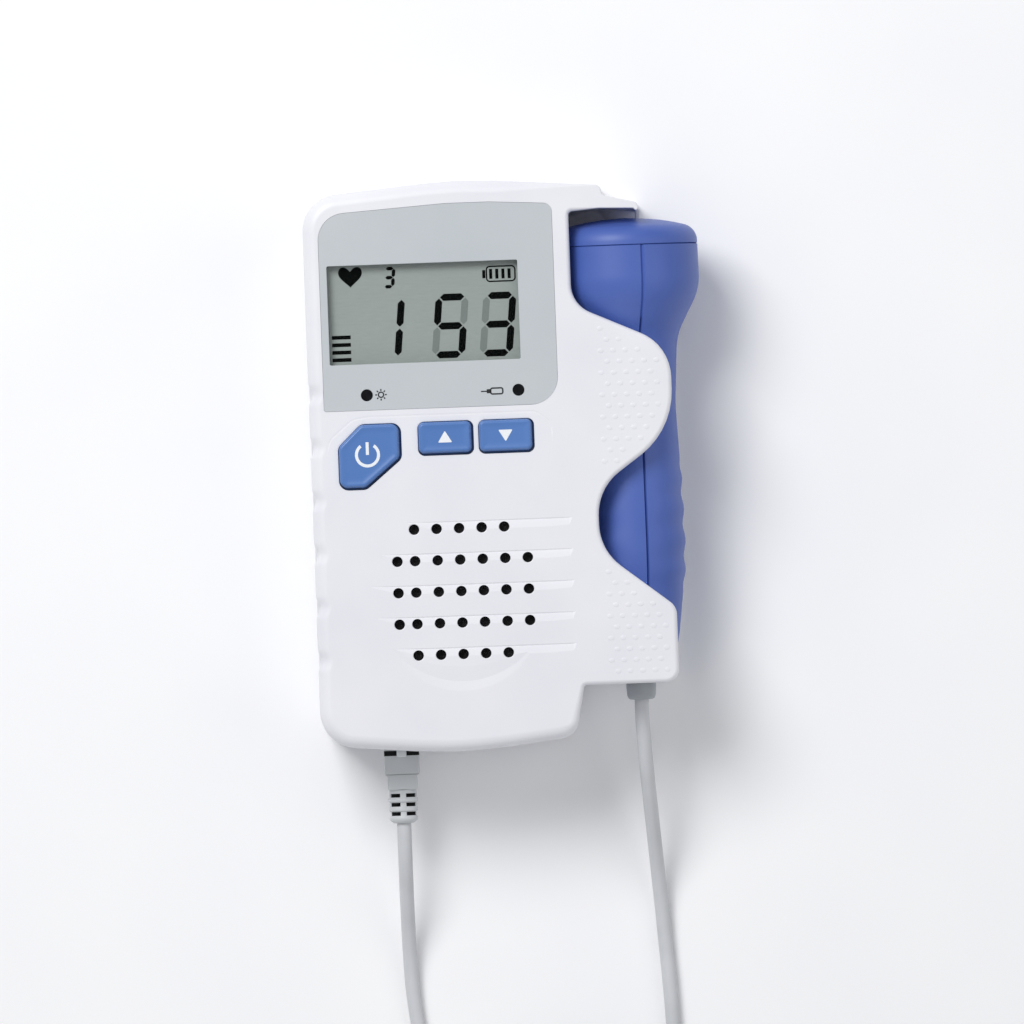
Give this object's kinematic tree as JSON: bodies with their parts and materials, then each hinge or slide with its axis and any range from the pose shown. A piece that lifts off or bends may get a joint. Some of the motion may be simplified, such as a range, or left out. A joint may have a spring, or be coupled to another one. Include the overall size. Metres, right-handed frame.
{
  "type": "fetal doppler monitor",
  "caption": "Hand-held fetal heart doppler with digital display, speaker, buttons and a corded ultrasound probe docked in an open side pocket.",
  "frame": {"origin": "on the resting surface, under the middle of the case with its probe docked", "axes": "+Z out of the display, +Y to the top of the case, +X to the side that holds the probe"},
  "size_m": [0.0964, 0.2708, 0.0387],
  "materials": {
    "case_white": "satin moulded ABS",
    "panel_grey": "satin screen-printed film",
    "clear_lens": "clear polished acrylic",
    "lcd_film": "satin polarising film",
    "holder_white": "moulded ABS",
    "black_plastic": "moulded plastic",
    "board_green": "solder-masked glass fibre board",
    "steel": "nickel-plated steel",
    "button_blue": "satin moulded ABS",
    "probe_blue": "satin moulded ABS",
    "cell_wrap": "shrink-wrapped can",
    "cord_grey": "matt PVC jacket",
    "plug_grey": "moulded PVC",
    "latch_clear": "moulded polycarbonate",
    "seal_rubber": "moulded silicone",
    "crystal_tan": "silvered ceramic",
    "foam_grey": "filled epoxy"
  },
  "bodies": {
    "case": {"front_case": "case_white", "rear_case": "case_white", "display_panel": "panel_grey", "display_lens": "clear_lens", "lcd_glass": "lcd_film", "lcd_holder": "holder_white", "backlight_plate": "holder_white", "contact_strip": "seal_rubber", "status_lights": "black_plastic", "status_leds": "holder_white", "main_board": "board_green", "board_chips": "black_plastic", "board_capacitors": "black_plastic", "board_screws": "steel", "tact_switches": "black_plastic", "speaker_basket": "steel", "speaker_magnet": "steel", "speaker_cone": "black_plastic", "speaker_cloth": "black_plastic", "battery_left": "cell_wrap", "battery_right": "cell_wrap", "battery_contacts": "steel", "plug_socket": "black_plastic", "case_screws": "steel", "cord_probe_run": "cord_grey", "cord_plug_run": "cord_grey", "cord_coil": "cord_grey"},
    "power_button": {"power_button": "button_blue", "power_plunger": "black_plastic"},
    "up_button": {"up_button": "button_blue", "up_plunger": "black_plastic"},
    "down_button": {"down_button": "button_blue", "down_plunger": "black_plastic"},
    "battery_cover": {"battery_cover": "case_white"},
    "plug": {"plug_body": "plug_grey", "plug_latch": "latch_clear", "plug_boot": "plug_grey"},
    "probe": {"probe_left_shell": "probe_blue", "probe_right_shell": "probe_blue", "probe_cap": "probe_blue", "probe_crystals": "crystal_tan", "probe_backing": "foam_grey", "probe_board": "board_green", "probe_seal_ring": "seal_rubber", "probe_strain_relief": "plug_grey"}
  },
  "joints": [
    {"name": "power_button_press", "type": "slide", "parent": "case", "child": "power_button", "axis": [0, 0, -1], "range_m": [0, 0.0008], "stiffness_N_per_m": 400, "springref_m": -0.0006},
    {"name": "up_button_press", "type": "slide", "parent": "case", "child": "up_button", "axis": [0, 0, -1], "range_m": [0, 0.0008], "stiffness_N_per_m": 400, "springref_m": -0.0006},
    {"name": "down_button_press", "type": "slide", "parent": "case", "child": "down_button", "axis": [0, 0, -1], "range_m": [0, 0.0008], "stiffness_N_per_m": 400, "springref_m": -0.0006},
    {"name": "probe_slide", "type": "slide", "parent": "case", "child": "probe", "axis": [1, 0, 0], "range_m": [0, 0.032], "deforming": ["cord_probe_run"]},
    {"name": "battery_cover_slide", "type": "slide", "parent": "case", "child": "battery_cover", "axis": [0, -1, 0], "range_m": [0, 0.06]},
    {"name": "plug_pull", "type": "slide", "parent": "case", "child": "plug", "axis": [0, -1, 0], "range_m": [0, 0.008], "deforming": ["cord_plug_run"]}
  ]
}
